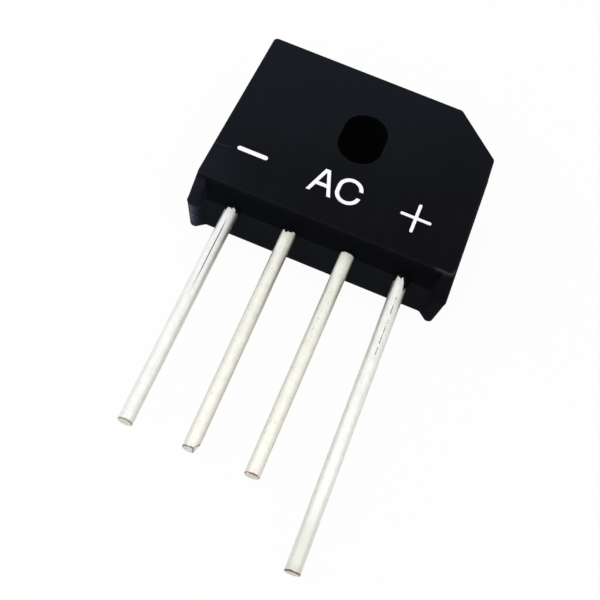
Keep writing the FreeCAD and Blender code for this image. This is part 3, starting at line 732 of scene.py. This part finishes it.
def tinned_wire(number):
    """Tin plate on copper wire: drawn lines along it, cloudy tin, painted shade on its flanks, a dark sheared
    rim with painted shade at its top and a dull cut end.

    Near the case the top of the tin is frosted and its shoulders are satin, so they scatter light more than
    they mirror, and the flanks mirror the dark case.
    """
    cut_tone, shaded_rim_tone, bare_tone, bare_share = CUT_TONES[number]
    tone = TIN_TONES[number]
    shader = Shader("tinned_wire_%d" % number)
    where = shader.place()
    lean = math.radians(LEADS[number][2])
    drawn = shader.noise(shader.place((5.0, 0.22, 5.0), (0, 0, -lean)), 1.6, 4.0)
    cloud = shader.noise(where, 1.3, 3.0)
    fine = shader.noise(shader.place((9.0, 3.0, 9.0), (0, 0, -lean)), 1.0, 3.0)
    mottle = shader.noise(where, 6.0, 3.0).step(0.40, 0.70)
    x, y, z = shader.parts(where)
    from_root = -SLOT_CENTRE - y
    from_tip = shader.attribute("from_tip") + (shader.noise(where, 3.0, 2.0) - 0.5) * 0.05
    beside = shader.attribute("beside")
    thin = beside.band(0.50, 0.35) * cloud.step(0.3, 0.6)
    cut_face = 1 - from_tip.step(-0.10, -0.04)
    tin = shader.mix(cloud.step(0.35, 0.70), tone, tuple(0.96 * part for part in tone))
    tin = shader.layered(tin, (
        (drawn.step(0.54, 0.72) * 0.45, (0.70, 0.70, 0.61)),
        (thin * THIN_TIN[number], (0.88, 0.78, 0.70)),
        # painted shade: darker flanks along each lead
        (abs(beside).step(0.68, 1.0) * FLANK_PAINTED_SHADE[number], (0.54, 0.54, 0.43)),
        (fine.step(0.58, 0.70) * SPECKLED[number], (0.50, 0.50, 0.39)),
        ((1 - from_tip.step(2.0, 6.0)) * DULL_END[number], (0.77, 0.78, 0.71)),
        ((1 - from_tip.step(0.15, 0.75)) * (0.4 + cloud) * bare_share, bare_tone),
        (dark_top_line(shader, number, beside, from_root, z), (0.02, 0.02, 0.02)),
        (cut_face * 0.95, cut_tone),
        (cut_face * mottle * 0.55, (0.45, 0.45, 0.40)),
        # a dark burr on the rim, with painted shade at its top
        (sheared_rim_and_shade(shader, number, where, z, from_tip, cut_face) * 0.88, shaded_rim_tone),
    ))
    flank = abs(beside).step(FROSTED_REACH[number], FROSTED_REACH[number] + 0.40)
    frosted = (1 - from_root.step(1.2, 4.5)) * (1 - flank)
    satin = (1 - from_root.step(3.0, 10.0)) * abs(beside).band(0.60, 0.38) * 0.6
    metal = 0.90 - frosted.maths("MAXIMUM", satin) * 0.85
    rough = 0.26 + cloud * 0.08 + drawn * 0.08 + cut_face * 0.20 + frosted * 0.2
    height = drawn * 0.6 + fine * 0.5 + cloud * 0.8
    return shader.finish(Base_Color=tin, Metallic=metal, Roughness=rough,
                         Normal=shader.bump(height, 0.40, 0.00002))


def rolled_copper():
    """Copper strip with rolling lines and a patchy brown tarnish."""
    shader = Shader("rolled_copper", Metallic=1.0)
    where = shader.place()
    rolled = shader.noise(shader.place((0.2, 6.0, 1.0)), 1.5, 3.0)
    patches = shader.noise(where, 0.5, 4.0)
    copper = shader.mix(patches.step(0.40, 0.70), (0.80, 0.42, 0.28), (0.52, 0.25, 0.17))
    copper = shader.mix(rolled.step(0.5, 0.8) * 0.4, copper, (0.90, 0.55, 0.40))
    rough = 0.28 + patches * 0.2
    return shader.finish(Base_Color=copper, Roughness=rough, Normal=shader.bump(rolled, 0.3, 0.00002))


def soft_solder():
    """Dull grey solder with a frosted, crystalline look."""
    shader = Shader("soft_solder", Metallic=1.0)
    where = shader.place()
    cells = shader.node("ShaderNodeTexVoronoi", inputs={"Vector": where, "Scale": 4.0})
    frost = shader.noise(where, 8.0, 3.0)
    grey = shader.mix(cells.step(0.2, 0.8), (0.50, 0.50, 0.50), (0.66, 0.66, 0.64))
    return shader.finish(Base_Color=grey, Roughness=0.38 + frost * 0.2,
                         Normal=shader.bump(cells + frost * 0.4, 0.4, 0.00002))


def lapped_silicon():
    """Dark grey silicon with fine lapping scratches in two directions."""
    shader = Shader("lapped_silicon", Metallic=0.85)
    one = shader.noise(shader.place((0.4, 14.0, 1.0), (0, 0, 0.5)), 1.0, 3.0)
    two = shader.noise(shader.place((12.0, 0.4, 1.0), (0, 0, 0.3)), 1.0, 3.0)
    lapped = one.step(0.4, 0.7) * 0.5 + two.step(0.4, 0.7) * 0.5
    grey = shader.mix(lapped, (0.20, 0.21, 0.24), (0.33, 0.34, 0.37))
    return shader.finish(Base_Color=grey, Roughness=0.22 + lapped * 0.15)


def printed_ink():
    """White pad-printed ink: slightly mottled, with the case's grain showing through in specks."""
    shader = Shader("white_ink", Specular_IOR_Level=0.3)
    where = shader.place()
    mottle = shader.noise(where, 2.5, 3.0)
    specks = shader.noise(where, 14.0, 2.0).step(0.70, 0.80)
    white = shader.mix(mottle.step(0.3, 0.7), (0.98, 0.98, 0.98), (0.93, 0.93, 0.94))
    white = shader.mix(specks * 0.25, white, (0.60, 0.60, 0.62))
    return shader.finish(Base_Color=white, Roughness=0.55 + mottle * 0.15,
                         Normal=shader.bump(mottle + specks, 0.3, 0.00001))


def dress(piece, material):
    """Gives a piece one material in all its slots."""
    piece.data.materials.clear()
    piece.data.materials.append(material)


epoxy = moulding_compound()
copper = rolled_copper()
solder = soft_solder()
silicon = lapped_silicon()
ink = printed_ink()
wires = [tinned_wire(number) for number in range(len(LEADS))]

FINISH_OF_SLOT = {
    "black_epoxy": epoxy, "tinned_copper": wires[0], "copper": copper, "solder": solder,
    "silicon": silicon, "white_ink": ink,
}
slot_of_node = {part["node"]: part["material_slot"] for part in frame["record"]["subparts"]}
for node, piece in frame["nodes"].items():
    dress(piece, FINISH_OF_SLOT[slot_of_node[node]])
for piece in [case] + collar_pieces:
    dress(piece, epoxy)
for piece, wire in zip(wire_pieces, wires):
    dress(piece, wire)


# Studio

def paper_floor():
    """Pale paper that shows as white to the camera and in reflections, and keeps a soft shadow."""
    shader = Shader("paper_floor", Roughness=0.9, Specular_IOR_Level=0.1)
    where = shader.place()
    fibres = shader.noise(where, 0.7, 4.0)
    paper = shader.mix(fibres, (0.82, 0.82, 0.82), (0.87, 0.87, 0.87))
    shader.finish(Base_Color=paper)
    shown = shader.seen_by(Camera=0.95, Glossy=0.2, Transmission=1.0)
    glow = shader.node("ShaderNodeEmission", inputs={"Color": (1, 1, 1, 1), "Strength": 1.0})
    mixed = shader.node("ShaderNodeMixShader", inputs={
        0: shown, 1: Socket(shader, shader.principled.outputs[0]), 2: glow})
    shader.tree.links.new(mixed.link, shader.tree.nodes["Material Output"].inputs["Surface"])
    return shader.material


def floor_surface():
    """Works out the floor: level under the part and turning up far behind it as a quarter of a circle."""
    across = np.linspace(-0.9, 0.9, 7)
    level = np.linspace(-0.9, 0.6, 6)
    bend = np.linspace(0, math.pi / 2, 13)[1:]
    y = np.concatenate([level, 0.6 + 0.3 * np.sin(bend), [0.9]])
    z = np.concatenate([level * 0, 0.3 - 0.3 * np.cos(bend), [1.2]])
    points = np.stack(np.broadcast_arrays(across[None], y[:, None], z[:, None]), axis=-1)
    faces = grid_faces(len(y), len(across), False, False)
    mesh = bpy.data.meshes.new("studio_floor")
    mesh.from_pydata(points.reshape(-1, 3).tolist(), [], faces.tolist())
    mesh.polygons.foreach_set("use_smooth", np.ones(len(mesh.polygons), bool))
    floor = bpy.data.objects.new("studio_floor", mesh)
    bpy.context.scene.collection.objects.link(floor)
    return floor


floor = floor_surface()
dress(floor, paper_floor())


def softbox(name, place, target, size, power):
    """Adds a square soft lamp, its place and target in metres. Metal mirrors the white air, not the lamp."""
    lamp = bpy.data.lights.new(name, "AREA")
    lamp.shape = "SQUARE"
    lamp.size = size
    lamp.energy = power
    holder = bpy.data.objects.new(name, lamp)
    holder.location = place
    holder.visible_glossy = False
    aim = Vector(target) - Vector(place)
    holder.rotation_euler = aim.to_track_quat("-Z", "Y").to_euler()
    bpy.context.scene.collection.objects.link(holder)


PART_MIDDLE = (0.0, -0.008, 0.003)
softbox("key_lamp", (-0.06, -0.08, 0.30), PART_MIDDLE, 0.60, 1.20)
softbox("side_lamp", (-0.26, -0.05, 0.08), PART_MIDDLE, 0.20, 0.20)


# Strength of the air's light: on the part, to the camera, and as metal mirrors it low down and overhead
AIR_LIGHT = 0.42
AIR_WHITE = 1.0
AIR_LOW = 0.84
AIR_OVERHEAD = 1.16


def studio_air():
    """Lights the part evenly at a plain level, and is white to the camera.

    Metal mirrors it as white overhead and a little greyer towards the horizon.
    """
    world = bpy.data.worlds.new("studio_world")
    world.use_nodes = True
    bpy.context.scene.world = world
    air = Nodes(world.node_tree)
    direction = air.node("ShaderNodeTexCoord", output="Generated")
    overhead = air.node("ShaderNodeSeparateXYZ", inputs={0: direction}, output=2).step(0.15, 0.75)
    even, white, low, high = [
        air.node("ShaderNodeBackground", inputs={"Color": (1, 1, 1, 1), "Strength": strength})
        for strength in (AIR_LIGHT, AIR_WHITE, AIR_LOW, AIR_OVERHEAD)]
    mirrored = air.node("ShaderNodeMixShader", inputs={0: overhead, 1: low, 2: high})
    directly = air.seen_by(Camera=1.0, Transmission=1.0)
    mixed = air.node("ShaderNodeMixShader", inputs={0: air.seen_by(Glossy=1.0), 1: even, 2: mirrored})
    mixed = air.node("ShaderNodeMixShader", inputs={0: directly, 1: mixed, 2: white})
    world.node_tree.links.new(mixed.link, world.node_tree.nodes["World Output"].inputs["Surface"])


studio_air()

# Camera, at the photograph's viewing angle for a square picture
FOCAL_SHARE = 853.0 / 600.0
VIEW_FORWARD = Vector((-0.0630, 0.4949, -0.8667)).normalized()
VIEW_RIGHT = Vector((0.9231, 0.3590, 0.1380))
VIEW_PLACE = Vector((4.81, -48.79, 62.55)) * MM
right = (VIEW_RIGHT - VIEW_FORWARD * VIEW_RIGHT.dot(VIEW_FORWARD)).normalized()
up = right.cross(VIEW_FORWARD)
lens = bpy.data.cameras.new("photo_camera")
lens.sensor_width = 36.0
lens.lens = 36.0 * FOCAL_SHARE
lens.clip_start = 0.002
lens.clip_end = 20.0
camera = bpy.data.objects.new("photo_camera", lens)
turned = Matrix((right, up, -VIEW_FORWARD)).transposed()
camera.matrix_world = Matrix.Translation(VIEW_PLACE) @ turned.to_4x4()
bpy.context.scene.collection.objects.link(camera)
bpy.context.scene.camera = camera

bpy.context.scene.view_settings.view_transform = "Standard"
